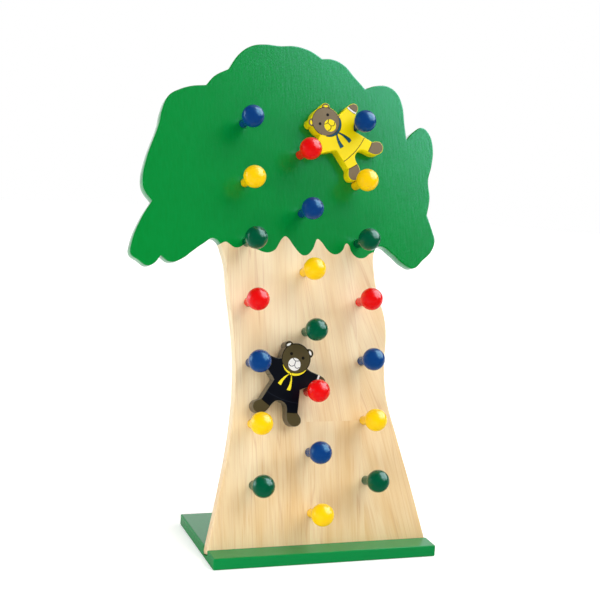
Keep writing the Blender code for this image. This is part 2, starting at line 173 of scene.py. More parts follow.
COLOURS = {
    "blue": (13, 60, 124),
    "red": (230, 7, 7),
    "yellow": (255, 206, 0),
    "dark_green": (0, 84, 54),
    "foliage": (0, 135, 47),
    "foliage_light": (0, 145, 56),
    "base": (0, 136, 64),
    "wood": (251, 229, 187),
    "wood_deep": (233, 194, 134),
    "wood_line": (206, 148, 97),
    "wood_streak": (226, 178, 114),
    "navy": (4, 8, 18),
    "navy_light": (28, 32, 42),
    "suit_yellow": (255, 230, 0),
    "fur_dark": (79, 70, 42),
    "fur_pale": (126, 111, 86),
    "scarf_yellow": (246, 226, 40),
    "scarf_teal": (4, 82, 106),
    "white": (240, 240, 236),
    "ink": (6, 4, 2),
    "ink_soft": (58, 44, 16),
    "contour_brown": (120, 98, 24),
    "line_grey": (98, 100, 104),
    # Side walls of the bears, lighter than their real paint: painted light on walls in shade, and a painted
    # highlight on the navy bear's brown-grey
    "edge_brown_with_painted_highlight": (106, 98, 80),
    "edge_yellow_painted_lighter": (255, 236, 10),
    "zinc": (190, 190, 185),
    "floor": (240, 240, 238),
}

# Colours of the screen: white, end and slope of the curve's straight part, offset and power of the rest
SCREEN_WHITE = 255
STRAIGHT_END = 0.04045
STRAIGHT_SLOPE = 12.92
CURVE_OFFSET = 0.055
CURVE_POWER = 2.4

# Linear colours of light: white, the dark that the floor shows in gloss, and the reflections in the
# foliage, in the base, in the varnish and lacquers, and in the blue lacquer
WHITE_LIGHT = (1, 1, 1, 1)
FLOOR_DARK = (0.02, 0.02, 0.02, 1)
FOLIAGE_SHEEN = (0.42, 0.85, 1, 1)
BASE_SHEEN = (0.7, 0.9, 1, 1)
VARNISH_SHEEN = (0.65, 0.9, 1, 1)
BLUE_SHEEN = (0.35, 0.85, 1, 1)

# Each bear's prints: region name and the colour it has on the yellow and on the navy bear
PRINT_COLOURS = {
    "suit": ("suit_yellow", "navy"),
    "fur": ("fur_pale", "fur_dark"),
    "scarf": ("scarf_teal", "scarf_yellow"),
    "muzzle": ("suit_yellow", "white"),
    "cuff": ("white", "white"),
    "outline": ("ink_soft", "ink"),
    "contour": ("contour_brown", "ink"),
    "hem": ("ink_soft", "navy_light"),
    "mouth": ("ink_soft", "line_grey"),
    "eye": ("ink", "ink"),
}
# Side wall colour of each bear. The yellow one is painted lighter than the suit to lift the shade on walls
# facing away from the lamps. The navy bear's brown-grey side paint is lightened as a painted highlight
EDGE_COLOURS_WITH_PAINTED_LIGHT = ("edge_yellow_painted_lighter", "edge_brown_with_painted_highlight")

# Noise in the materials: waves per metre along x, y and z, and detail
FOLIAGE_GRAIN = ((330, 60, 330), 4)
BASE_GRAIN = ((18, 300, 300), 4)
PAINT_PATCHES = ((14, 9, 14), 2)
PAINT_SPECKLE = ((900, 420, 900), 3)
WOOD_RINGS = ((70, 2.4, 50), 1.5)
WOOD_FIBRES = ((1500, 14, 1200), 3)
WOOD_CLOUDS = ((34, 6, 20), 2.5)
WOOD_LINE_STRENGTH = ((30, 4, 30), 1)
WOOD_STREAKS = ((330, 16, 100), 4)
LACQUER_WAVES = ((90, 90, 90), 1)
PRINT_GRAIN = ((700, 220, 700), 3)
ZINC_GRAIN = ((900, 900, 900), 2)

# Brushed paints: what makes the lighter colour and the bump, and how far the roughness varies
GRAIN_IN_TONE = 0.7
PATCHES_IN_TONE = 0.5
SPECKLE_IN_HEIGHT = 0.5
SPECKLE_SPAN = (0.3, 0.7)
ROUGHNESS_SWING = 0.03

# Staves of the board: where their joints are in metres, how much their grain leans, how far it is
# shifted from stave to stave, and the share of that for the upper one of the two middle staves
STAVE_JOINTS = (-0.088, -0.003, 0.073)
BUTT_JOINT = 0.157
MIDDLE_SLANT = 0.14
RIGHT_SLANT = 0.22
STAVE_SHIFT = 0.31
UPPER_STAVE_SHARE = 0.4

# Lacquered wood and the plain finishes, where a relief is the depth of a bump in metres
RINGS_IN_NOISE = 24
FIBRES_IN_HEIGHT = 0.6
LINES_IN_HEIGHT = -0.4
WOOD_ROUGHNESS = 0.42
WOOD_SPECULAR = 0.8
WOOD_RELIEF = 0.00002
LACQUER_ROUGHNESS = 0.17
LACQUER_IOR = 1.5
LACQUER_RELIEF = 0.00005
LACQUER_RELIEF_SHARE = 0.5
PRINT_ROUGHNESS = 0.3
PRINT_SPECULAR = 0.17
PRINT_RELIEF = 0.00003
ZINC_ROUGHNESS = 0.35
ZINC_RELIEF = 0.00002

# Ranges of noise and of places in metres: from the first to the second value, a share goes from the
# third to the fourth
PAINT_TONE = (0.35, 0.85, 0, 1)
LINE_ACROSS = (0.0, 0.34, 1, 0)
LINE_SHARE = (0.35, 0.7, 0.08, 0.5)
# Painted light and shade across the trunk: the wood is paler at the left, where shade falls, and deeper at
# the right
PAINTED_LIGHT_AND_SHADE_ACROSS = (-0.11, 0.12, -0.12, 0.28)
DEEP_UP = (0, 0.3, 0.4, 0)
DEEP_CLOUDS = (0.34, 0.7, -0.2, 0.6)
STREAK_SHARE = (0.5, 0.72, 0, 0.62)
STREAKS_UP = (0.02, 0.28, 1, 0.35)
FIBRE_SHARE = (0.52, 0.78, 0, 0.35)
FLOOR_BACK = (-0.25, 0.5, 0, 1)

# Ranges of the same kind for the world, by how far a direction goes to the right, back and up, and the
# light of the dark room in gloss
BACKDROP_BACK = (0.1, 0.45, 0, 1.8)
BACKDROP_RIGHT = (0.4, 0.8, 1, 0)
BACKDROP_FAR_LEFT = (-0.8, -0.5, 2.2, 0.5)
BACKDROP_MIDDLE = (-0.1, 0.15, 0.5, 1)
BACKDROP_UP = (0.3, 0.5, 1, 0)
CEILING_UP = (0.6, 0.85, 0, 0.7)
CEILING_RIGHT = (-0.2, 0.1, 0, 1)
SOFT_BACK = (-0.5, 0.1, 0.36, 0.7)
DARK_GLOSS = 0.01

# Camera
CAMERA_PLACE = (-0.5968, -1.6347, 0.6260)
CAMERA_YAW = math.radians(19.1926)
CAMERA_PITCH = math.radians(9.8723)
CAMERA_ROLL = math.radians(3.4569)
CAMERA_LENS = 82.172
SENSOR_WIDTH = 36

# Softboxes and cards: azimuth to the right of the toy's front, elevation, roll and half angles in
# degrees, distance from the toy in metres, and radiance, where the white background has 1
LIGHT_TARGET = Vector((0, 0, 0.35))
LIGHTS = {
    "key_softbox": (43.5, 30, 26, 12.5, 18, 4.5, 3.2),
    "front_softbox": (24, 38, 20, 14, 16, 4.5, 2.4),
    "wide_softbox": (70, 43, 26, 26, 30, 4.5, 1.9),
    "left_card": (-76, -8, 0, 18, 26, 4.5, 3.9),
    "table_card": (-35, -26, 0, 24, 8, 0.62, 2.3),
    "gloss_softbox": (90, 43, 26, 28, 31, 4.5, 4.2),
}
UNSEEN_IN_GLOSS = ("front_softbox", "left_card", "table_card")
GLOSS_ONLY = ("key_softbox", "gloss_softbox")

# Floor
FLOOR_RADIUS = 4
FLOOR_SIDES = 96
FLOOR_DROP = 0.0002
FLOOR_ROUGHNESS = 0.9
FLOOR_GLOW = 0.42


# Outlines

def vectors(points):
    return [Vector(point) for point in points]


def ring_pairs(ring):
    """Each item of a closed ring with the one after it."""
    return list(zip(ring, ring[1:] + ring[:1]))


def direction(angle):
    return Vector((math.cos(angle), math.sin(angle)))


def smooth_run(points, steps):
    """Points of a smooth curve through the given points, with free ends, without its last point."""
    tangents = []
    for index, point in enumerate(points):
        before = points[max(index - 1, 0)]
        after = points[min(index + 1, len(points) - 1)]
        tangents.append((point - before).normalized() + (after - point).normalized())
    curve = []
    for start, end, leave, arrive in zip(points, points[1:], tangents, tangents[1:]):
        reach = HANDLE_SHARE * (end - start).length
        handles = (start + leave.normalized() * reach, end - arrive.normalized() * reach)
        curve += interpolate_bezier(start, *handles, end, steps + 1)[:-1]
    return curve


def arc(centre, radius, start, end):
    """Points along a circle between two angles, without the last one."""
    count = max(2, round(abs(end - start) / ARC_STEP))
    return [centre + radius * direction(start + (end - start) * step / count) for step in range(count)]


def circle(centre, radius):
    return arc(Vector(centre), radius, 0, 2 * math.pi)


def angle_of(vector):
    return math.atan2(vector.y, vector.x)


def mirrored(points):
    return [Vector((-point[0], point[1])) for point in reversed(points)]


def placed(points, place, lean):
    turn = Matrix.Rotation(lean, 2)
    return [turn @ point + place for point in points]


def stroke(points, width):
    """Outline of a pen line of the given width along the points."""
    points = vectors(points)
    left = []
    right = []
    for index, point in enumerate(points):
        along = points[min(index + 1, len(points) - 1)] - points[max(index - 1, 0)]
        side = Vector((-along.y, along.x)).normalized() * width / 2
        left.append(point + side)
        right.append(point - side)
    return left + right[::-1]


def anticlockwise(outline):
    area = sum(a.x * b.y - a.y * b.x for a, b in ring_pairs(outline)) / 2
    return outline if area > 0 else outline[::-1]


def inset(outline, distance):
    """The outline, which runs anticlockwise, moved inwards with mitred corners."""
    moved = []
    for before, (point, after) in zip(outline[-1:] + outline[:-1], ring_pairs(outline)):
        first = (point - before).normalized()
        second = (after - point).normalized()
        inwards = Vector((-first.y - second.y, first.x + second.x))
        moved.append(point + inwards * distance / (1 + first.dot(second)))
    return moved


def tree_outline():
    """The board's outline down to the end of its foot in the groove, anticlockwise."""
    drawn = [point for run in TREE_RUNS for point in run]
    scale_x = TREE_WIDTH / (max(point[0] for point in drawn) - min(point[0] for point in drawn))
    scale_y = TREE_HEIGHT / max(point[1] for point in drawn)
    outline = []
    for run in TREE_RUNS:
        outline += smooth_run([Vector((x * scale_x, y * scale_y)) for x, y in run], TREE_CURVE_STEPS)
    foot = face_box("tree_board")[0].y
    last_x = TREE_RUNS[-1][-1][0] * scale_x
    outline += [Vector((last_x, 0)), Vector((last_x, foot)), Vector((outline[0].x, foot))]
    return outline[::-1]


def bear_outline():
    """A bear seen from the front, anticlockwise."""
    ear = EAR_DISTANCE * direction(EAR_ANGLE)
    along = (HEAD_RADIUS ** 2 - EAR_RADIUS ** 2 + EAR_DISTANCE ** 2) / (2 * EAR_DISTANCE)
    spread = math.acos(along / HEAD_RADIUS)
    centre = Vector((0, 0))
    upper = HEAD_RADIUS * direction(EAR_ANGLE + spread)
    lower = HEAD_RADIUS * direction(EAR_ANGLE - spread)
    neck = HEAD_RADIUS * direction(NECK_ANGLE)
    half = arc(centre, HEAD_RADIUS, math.pi / 2, EAR_ANGLE + spread)
    half += arc(ear, EAR_RADIUS, angle_of(upper - ear), angle_of(lower - ear))
    half += arc(centre, HEAD_RADIUS, EAR_ANGLE - spread, NECK_ANGLE)
    half += smooth_run([neck] + vectors(BEAR_ARM), BEAR_CURVE_STEPS)
    half += smooth_run(vectors(BEAR_LEG), BEAR_CURVE_STEPS)
    clockwise = half + [Vector(BEAR_LEG[-1])] + mirrored(half[1:])
    return clockwise[::-1]


def paired_prints():
    """What is printed on the right half of a bear and, mirrored, on the left, in painting order."""
    centre = Vector((0, 0))
    foot = vectors(FOOT_EDGE + FOOT_AROUND)
    cuff = vectors(SLEEVE_END + HAND_START[::-1])
    hand = vectors(HAND_START + ((HAND_REACH, HAND_START[-1][1]), (HAND_REACH, HAND_START[0][1])))
    line_radius = HEAD_RADIUS - PRINT_LINE
    crown = arc(centre, line_radius, CHIN_ANGLE, math.pi / 2) + [Vector((0, line_radius))]
    ear = direction(EAR_ANGLE)
    ear_ring = arc(EAR_DISTANCE * ear, EAR_RADIUS - PRINT_LINE, EAR_ANGLE - EAR_RING_HALF,
                   EAR_ANGLE + EAR_RING_HALF)
    across, along = INNER_EAR_SIZE
    oval = [Vector((point.x * across, point.y * along)) for point in circle(centre, 1)]
    inner_ear = placed(oval, INNER_EAR_DISTANCE * ear, EAR_ANGLE)
    prints = []
    for side in (lambda points: points, mirrored):
        prints += [("fur", side(foot)), ("fur", side(hand)), ("cuff", side(cuff))]
        prints += [("outline", stroke(side(line), PRINT_LINE)) for line in (FOOT_EDGE, HAND_START)]
        prints += [("mouth", stroke(side(SLEEVE_END), THIN_PRINT_LINE))]
        prints += [("outline", stroke(side(line), PRINT_LINE)) for line in (crown, ear_ring)]
        prints += [("muzzle", side(inner_ear))]
        prints += [("outline", stroke(side(inner_ear + inner_ear[:1]), THIN_PRINT_LINE))]
    return prints


def bear_prints():
    """The printed regions in painting order, as (region name, closed outline)."""
    centre = Vector((0, 0))
    beyond = HEAD_RADIUS + 2 * EAR_RADIUS
    head = arc(centre, CHIN_RADIUS, math.pi - CHIN_ANGLE, 2 * math.pi + CHIN_ANGLE)
    head += arc(centre, beyond, HEAD_TOP_ANGLE, math.pi - HEAD_TOP_ANGLE)
    chin = arc(centre, CHIN_RADIUS, *SCARF_SPAN[::-1])
    ends = [angle_of(end - SCARF_CENTRE) + 2 * math.pi for end in (chin[-1], chin[0])]
    scarf = arc(SCARF_CENTRE, SCARF_RADIUS, *ends)
    contour = inset(bear_outline(), BEAR_EDGE_RADIUS + CONTOUR_LINE / 2)
    knot = circle(KNOT_CENTRE, KNOT_RADIUS)
    muzzle = circle(MUZZLE_CENTRE, MUZZLE_RADIUS)
    prints = [("fur", head)] + paired_prints()
    prints += [("contour", stroke(contour + contour[:1], CONTOUR_LINE)), ("scarf", scarf + chin)]
    prints += [("outline", stroke(line, THIN_PRINT_LINE)) for line in (chin, scarf)]
    for tail in SCARF_TAILS:
        prints += [("scarf", vectors(tail)), ("outline", stroke(tail + tail[:1], THIN_PRINT_LINE))]
    prints += [("scarf", knot), ("hem", stroke(HEM, PRINT_LINE))]
    prints += [("outline", stroke(knot, THIN_PRINT_LINE))]
    prints += [("muzzle", muzzle), ("mouth", stroke(muzzle + muzzle[:1], THIN_PRINT_LINE))]
    for line in (NOSE, NOSE_TO_MOUTH, MOUTH):
        curve = smooth_run(vectors(line), PAINT_CURVE_STEPS) + [Vector(line[-1])]
        prints += [("mouth", stroke(curve, PRINT_LINE))]
    prints += [("eye", circle(eye, EYE_RADIUS)) for eye in EYES]
    return prints


# Places in the frame of the tree's face

def face_matrix():
    """From the face's frame to the row frame, both in metres."""
    normal = Vector(frame["joints"][0]["axis"]).normalized()
    across = Vector((1, 0, 0))
    front = max(vertex.co.dot(normal) for vertex in frame["nodes"]["tree_board"].data.vertices)
    low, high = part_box("dowel_02_centre")
    base_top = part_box("base_plate")[1].z
    matrix = Matrix((across, normal.cross(across), normal)).transposed().to_4x4()
    matrix.translation = ((low.x + high.x) / 2, (front - normal.z * base_top) / normal.y, base_top)
    return matrix


FACE = face_matrix()


def face_box(node):
    """Lowest and highest corner of a CAD node in the face's frame, in millimetres."""
    inverse = FACE.inverted()
    points = [inverse @ vertex.co / MILLIMETRE for vertex in frame["nodes"][node].data.vertices]
    return [Vector([pick(point[axis] for point in points) for axis in range(3)]) for pick in (min, max)]


# Nodes and materials

def linear(colour):
    """Linear values of a named colour, written in 0-255 steps of the screen."""
    values = []
    for step in COLOURS[colour]:
        share = step / SCREEN_WHITE
        if share < STRAIGHT_END:
            values.append(share / STRAIGHT_SLOPE)
        else:
            values.append(((share + CURVE_OFFSET) / (1 + CURVE_OFFSET)) ** CURVE_POWER)
    return (*values, 1)


def feed(tree, socket, value):
    """Gives an input an output that feeds it, a named colour or a fixed value."""
    if isinstance(value, bpy.types.NodeSocket):
        tree.links.new(value, socket)
    else:
        socket.default_value = linear(value) if isinstance(value, str) else value


def add_node(tree, kind, settings, *values):
    """Adds a node, feeds its inputs in order and returns its first output."""
    made = tree.nodes.new(kind)
    for name, value in settings.items():
        setattr(made, name, value)
    for socket, value in zip(made.inputs, values):
        feed(tree, socket, value)
    return made.outputs[0]


def math_node(tree, operation, *values):
    return add_node(tree, "ShaderNodeMath", {"operation": operation}, *values)


def plus(tree, first, second):
    return math_node(tree, "ADD", first, second)


def times(tree, first, second):
    return math_node(tree, "MULTIPLY", first, second)


def parts_of(tree, place):
    """The three parts of a place or a direction."""
    made = tree.nodes.new("ShaderNodeSeparateXYZ")
    tree.links.new(place, made.inputs["Vector"])
    return made.outputs


def noise(tree, place, waves, detail):
    """Noise on a place stretched by three scales, each in waves per metre."""
    stretched = add_node(tree, "ShaderNodeMapping", {}, place, (0, 0, 0), (0, 0, 0), waves)
    made = tree.nodes.new("ShaderNodeTexNoise")
    made.inputs["Scale"].default_value = 1
    made.inputs["Detail"].default_value = detail
    tree.links.new(stretched, made.inputs["Vector"])
    return made.outputs["Fac"]


def ranged(tree, value, low, high, start, end):
    """Goes from start to end while the value goes from low to high, and stays there outside."""
    return add_node(tree, "ShaderNodeMapRange", {}, value, low, high, start, end)


def mixed(tree, share, first, second):
    """Mix of two colours, each a named colour, an output or a linear colour."""
    made = tree.nodes.new("ShaderNodeMix")
    made.data_type = "RGBA"
    feed(tree, made.inputs["Factor"], share)
    colour_sockets = [socket for socket in made.inputs if socket.type == "RGBA"]
    for socket, value in zip(colour_sockets, (first, second)):
        feed(tree, socket, value)
    return [socket for socket in made.outputs if socket.type == "RGBA"][0]


def bump(tree, shader, height, distance, strength=1.0):
    made = tree.nodes.new("ShaderNodeBump")
    made.inputs["Strength"].default_value = strength
    made.inputs["Distance"].default_value = distance
    tree.links.new(height, made.inputs["Height"])
    tree.links.new(made.outputs["Normal"], shader.inputs["Normal"])


def principled(name, roughness, metallic=0.0):
    """A new material with its node tree, its shader and its object coordinates."""
    made = bpy.data.materials.new(name)
    made.use_nodes = True
    tree = made.node_tree
    shader = tree.nodes["Principled BSDF"]
    shader.inputs["Roughness"].default_value = roughness
    shader.inputs["Metallic"].default_value = metallic
    place = tree.nodes.new("ShaderNodeTexCoord").outputs["Object"]
    return made, tree, shader, place


def brushed_paint(name, colour, light, roughness, specular, sheen, relief, grain_noise):
    """Satin paint over the grain of the wood, in one colour or patchy with a lighter one."""
    made, tree, shader, place = principled(name, roughness)
    shader.inputs["Specular IOR Level"].default_value = specular
    shader.inputs["Specular Tint"].default_value = sheen
    grain = noise(tree, place, *grain_noise)
    tone = colour
    if light:
        patches = noise(tree, place, *PAINT_PATCHES)
        share = plus(tree, times(tree, grain, GRAIN_IN_TONE), times(tree, patches, PATCHES_IN_TONE))
        tone = mixed(tree, ranged(tree, share, *PAINT_TONE), colour, light)
    feed(tree, shader.inputs["Base Color"], tone)
    speckle = noise(tree, place, *PAINT_SPECKLE)
    gloss = ranged(tree, speckle, *SPECKLE_SPAN, roughness - ROUGHNESS_SWING, roughness + ROUGHNESS_SWING)
    tree.links.new(gloss, shader.inputs["Roughness"])
    bump(tree, shader, plus(tree, grain, times(tree, speckle, SPECKLE_IN_HEIGHT)), relief)
    return made


def stave_grain(tree, place):
    """Places along the grain of the glued staves, which leans more in those to the right."""
    across, up, out = parts_of(tree, place)
    middle = math_node(tree, "GREATER_THAN", across, STAVE_JOINTS[1])
    right = math_node(tree, "GREATER_THAN", across, STAVE_JOINTS[2])
    left = math_node(tree, "LESS_THAN", across, STAVE_JOINTS[0])
    upper = math_node(tree, "GREATER_THAN", up, BUTT_JOINT)
    upper_middle = times(tree, middle, upper)
    slant = plus(tree, times(tree, upper_middle, MIDDLE_SLANT), times(tree, right, RIGHT_SLANT))
    stave = plus(tree, math_node(tree, "SUBTRACT", middle, left),
                 plus(tree, right, times(tree, upper_middle, UPPER_STAVE_SHARE)))
    leaned = plus(tree, across, times(tree, up, slant))
    grain_x = plus(tree, leaned, times(tree, stave, STAVE_SHIFT))
    return add_node(tree, "ShaderNodeCombineXYZ", {}, grain_x, up, out)


def lacquered_wood():
    """Pale glued staves under clear lacquer, deeper in colour below, and painted paler at the left and
    deeper at the right as painted light and shade.
    """
    made, tree, shader, place = principled("lacquered_pine", WOOD_ROUGHNESS)
    shader.inputs["Specular IOR Level"].default_value = WOOD_SPECULAR
    shader.inputs["Specular Tint"].default_value = VARNISH_SHEEN
    across, up, _ = parts_of(tree, place)
    grain = stave_grain(tree, place)
    rings = noise(tree, grain, *WOOD_RINGS)
    ridge = math_node(tree, "ABSOLUTE", math_node(tree, "SINE", times(tree, rings, RINGS_IN_NOISE)))
    lines = ranged(tree, ridge, *LINE_ACROSS)
    fibres = noise(tree, grain, *WOOD_FIBRES)
    clouds = noise(tree, grain, *WOOD_CLOUDS)
    strength = noise(tree, grain, *WOOD_LINE_STRENGTH)
    streaks = noise(tree, grain, *WOOD_STREAKS)
    # Painted light and shade across the trunk, paler at the left and deeper at the right, added to the
    # deeper wood below
    painted_shade_across_and_deeper_below = plus(tree, ranged(tree, across, *PAINTED_LIGHT_AND_SHADE_ACROSS), ranged(tree, up, *DEEP_UP))
    depth = plus(tree, ranged(tree, clouds, *DEEP_CLOUDS), painted_shade_across_and_deeper_below)
    line_share = times(tree, lines, ranged(tree, strength, *LINE_SHARE))
    streak_share = times(tree, ranged(tree, streaks, *STREAK_SHARE), ranged(tree, up, *STREAKS_UP))
    toned = mixed(tree, streak_share, mixed(tree, depth, "wood", "wood_deep"), "wood_streak")
    lined = mixed(tree, line_share, toned, "wood_line")
    grained = mixed(tree, ranged(tree, fibres, *FIBRE_SHARE), lined, "wood_line")
    tree.links.new(grained, shader.inputs["Base Color"])
    height = plus(tree, times(tree, fibres, FIBRES_IN_HEIGHT), times(tree, lines, LINES_IN_HEIGHT))
    bump(tree, shader, height, WOOD_RELIEF)
    return made


def gloss_lacquer(name, colour):
    """Thick dipped lacquer, slightly uneven."""
    made, tree, shader, place = principled(name, LACQUER_ROUGHNESS)
    shader.inputs["Base Color"].default_value = linear(colour)
    shader.inputs["IOR"].default_value = LACQUER_IOR
    shader.inputs["Specular Tint"].default_value = BLUE_SHEEN if colour == "blue" else VARNISH_SHEEN
    bump(tree, shader, noise(tree, place, *LACQUER_WAVES), LACQUER_RELIEF, LACQUER_RELIEF_SHARE)
    return made


def print_paint(name, colour):
    """Satin print over a smooth sanded face."""
    made, tree, shader, place = principled(name, PRINT_ROUGHNESS)
    shader.inputs["Base Color"].default_value = linear(colour)
    shader.inputs["Specular IOR Level"].default_value = PRINT_SPECULAR
    bump(tree, shader, noise(tree, place, *PRINT_GRAIN), PRINT_RELIEF)
    return made


def zinc():
    made, tree, shader, place = principled("zinc_plate", ZINC_ROUGHNESS, metallic=1.0)
    shader.inputs["Base Color"].default_value = linear("zinc")
    bump(tree, shader, noise(tree, place, *ZINC_GRAIN), ZINC_RELIEF)
    return made


# Meshes

def add_object(name, data, matrix):
    made = bpy.data.objects.new(name, data)
    bpy.context.scene.collection.objects.link(made)
    made.matrix_world = matrix
    return made


def add_piece(name, mesh, matrix, body):
    """Adds a piece with a place in the row frame that moves with a body."""
    made = add_object(name, mesh, matrix)
    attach(made, body)
    return made


def loops_of(faces):
    """The closed rings of free edges round some faces, each in the faces' own direction."""
    edges = {pair for face in faces for pair in ring_pairs(face)}
    follow = {a: b for a, b in edges if (b, a) not in edges}
    rings = []
    while follow:
        start, point = follow.popitem()
        ring = [start]
        while point != start:
            ring.append(point)
            point = follow.pop(point)
        rings.append(ring)
    return rings


def outer_twin(point, inner, outer):
    """The spot on the outer outline that lies outside a point on the inner one."""
    best = None
    for (start, end), (outer_start, outer_end) in zip(ring_pairs(inner), ring_pairs(outer)):
        share = min(max(intersect_point_line(point, start, end)[1], 0), 1)
        distance = (start.lerp(end, share) - point).length
        if best is None or distance < best[0]:
            best = (distance, outer_start.lerp(outer_end, share))
    return best[1]


def cut_front(inner, regions, holes):
    """Cuts a front into triangles, and gives their corners and each as (corners, finish, in a hole)."""
    shapes = [inner] + [anticlockwise(shape) for _, shape in regions] + list(holes)
    points = [point for shape in shapes for point in shape]
    starts = [sum(len(shape) for shape in shapes[:index]) for index in range(len(shapes))]
    faces = [list(range(start, start + len(shape))) for start, shape in zip(starts, shapes)]
    cut = delaunay_2d_cdt(points, [], faces, TRIANGLES_INSIDE, CROSSING_SLACK)
    spots, _, triangles, _, _, owners = cut
    painted = []
    for triangle, own in zip(triangles, owners):
        if 0 in own:
            paint = max(index for index in own if index <= len(regions))
            finish = regions[paint - 1][0] if paint else 0
            painted.append((list(triangle), finish, max(own) > len(regions)))
    return spots, painted


def sawn_mesh(name, outline, bottom, top, radius, regions, finishes, holes=(), hole_depth=0,
              edge_finish=None):
    """A board sawn to an outline, in millimetres, with rounded edges, painted regions and blind holes.

    The regions are (finish index, closed outline) in painting order over finish 0. Walls and back take
    the fixed edge finish, or else that of the front beside them.
    """
    inner = inset(outline, radius)
    spots, painted = cut_front(inner, regions, holes)
    front = [(face, finish) for face, finish, hole in painted if not hole]
    rim = max(loops_of([face for face, _, _ in painted]), key=len)
    hole_rings = [ring for ring in loops_of([face for face, _ in front]) if ring[0] not in rim]
    beside = {pair: finish for face, finish in front for pair in ring_pairs(face)}
    twins = [outer_twin(spots[index], inner, outline) for index in rim]
    solid = bmesh.new()

    def corners(faces, height):
        used = sorted({index for face in faces for index in face})
        return {index: solid.verts.new((*spots[index], height)) for index in used}

    def add_face(verts, finish, smooth=False):
        face = solid.faces.new(verts)
        face.material_index = finish
        face.smooth = smooth

    high = corners([face for face, _ in front], top)
    low = corners([face for face, _, _ in painted], bottom)
    for face, finish in front:
        add_face([high[index] for index in face], finish)
    for face, finish, _ in painted:
        back = finish if edge_finish is None else edge_finish
        add_face([low[index] for index in reversed(face)], back)
    angles = [math.pi / 2 * step / EDGE_STEPS for step in range(1, EDGE_STEPS + 1)]
    levels = [(math.sin(angle), top - radius * (1 - math.cos(angle))) for angle in angles]
    levels += [(reach, bottom + top - height) for reach, height in reversed(levels)]
    rings = [[high[index] for index in rim]]
    for reach, height in levels:
        places = [spots[index].lerp(twin, reach) for index, twin in zip(rim, twins)]
        rings.append([solid.verts.new((*place, height)) for place in places])
    rings.append([low[index] for index in rim])
    for level, (upper, lower) in enumerate(zip(rings, rings[1:])):
        for pair, (high_a, high_b), (low_a, low_b) in zip(*map(ring_pairs, (rim, upper, lower))):
            finish = edge_finish
            if edge_finish is None or level < PRINTED_EDGE_STEPS:
                finish = beside[pair]
            add_face([high_b, high_a, low_a, low_b], finish, True)
    sharp = ring_pairs(rings[0]) + ring_pairs(rings[-1])
    for ring in hole_rings:
        mouth = [high[index] for index in ring]
        end = [solid.verts.new((*spots[index], top - hole_depth)) for index in ring]
        for (high_a, high_b), (low_a, low_b) in zip(ring_pairs(mouth), ring_pairs(end)):
            add_face([high_b, high_a, low_a, low_b], 0, True)
        add_face(end, 0)
        sharp += ring_pairs(mouth) + ring_pairs(end)
    for start, end in sharp:
        solid.edges.get((start, end)).smooth = False
    mesh = bpy.data.meshes.new(name)
    bmesh.ops.transform(solid, matrix=Matrix.Scale(MILLIMETRE, 4), verts=solid.verts)
    solid.to_mesh(mesh)
    solid.free()
    for finish in finishes:
        mesh.materials.append(finish)
    return mesh


def turned_mesh(name, profile):
    """Turns a profile of (radius, height) points, in millimetres, round the Z axis."""
    mesh = bpy.data.meshes.new(name)
    edges = [(index, index + 1) for index in range(len(profile) - 1)]
    points = [(radius * MILLIMETRE, 0, height * MILLIMETRE) for radius, height in profile]
    mesh.from_pydata(points, edges, [])
    blank = add_object(name, mesh, Matrix())
    turning = blank.modifiers.new("turned", "SCREW")
    turning.steps = PEG_SIDES
    turning.render_steps = PEG_SIDES
    turning.use_merge_vertices = True
    turning.merge_threshold = MERGE_DISTANCE
    bpy.context.view_layer.update()
    depsgraph = bpy.context.evaluated_depsgraph_get()
    turned = bpy.data.meshes.new_from_object(blank.evaluated_get(depsgraph))
    bpy.data.objects.remove(blank)
    turned.shade_smooth()
    turned.set_sharp_from_angle(angle=SHARP_ANGLE)
    return turned


# Pieces

def make_board(foliage):
    """The tree: green foliage over a bare trunk, with a hole for each dowel."""
    low, high = face_box("tree_board")
    holes = []
    for node in sorted(frame["nodes"]):
        if node.startswith("dowel_"):
            start, end = face_box(node)
            holes.append(circle((start + end).xy / 2, (end.x - start.x) / 2 + PEG_HOLE_GAP))
    edge = smooth_run(vectors(PAINT_EDGE), PAINT_CURVE_STEPS) + [Vector(PAINT_EDGE[-1])]
    crown = edge + vectors(CROWN_AROUND)
    mesh = sawn_mesh("painted_tree_board", tree_outline(), low.z, high.z, BOARD_EDGE_RADIUS,
                     [(1, crown)], [lacquered_wood(), foliage], holes, PEG_HOLE_DEPTH)
    board = add_piece("painted_tree_board", mesh, FACE, "tree")
    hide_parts("tree_board")


def ball_profile(radius, stem):
    """Ball from its far pole to the lacquer collar round the stem, and in along the bore."""
    collar = stem + COLLAR_RADIUS
    reach = radius + COLLAR_RADIUS
    meet = math.asin(collar / reach)
    profile = []
    for step in range(BALL_ARC_STEPS + 1):
        angle = (math.pi - meet) * step / BALL_ARC_STEPS
        profile.append((radius * math.sin(angle), radius * math.cos(angle)))
    collar_height = -reach * math.cos(meet)
    for step in range(1, COLLAR_STEPS + 1):
        angle = meet + (math.pi / 2 - meet) * step / COLLAR_STEPS
        place = (collar - COLLAR_RADIUS * math.sin(angle), collar_height + COLLAR_RADIUS * math.cos(angle))
        profile.append(place)
    bore = stem + BORE_GAP
    bore_end = -radius + BORE_DEPTH
    return profile + [(bore, bore_end), (0, bore_end)]


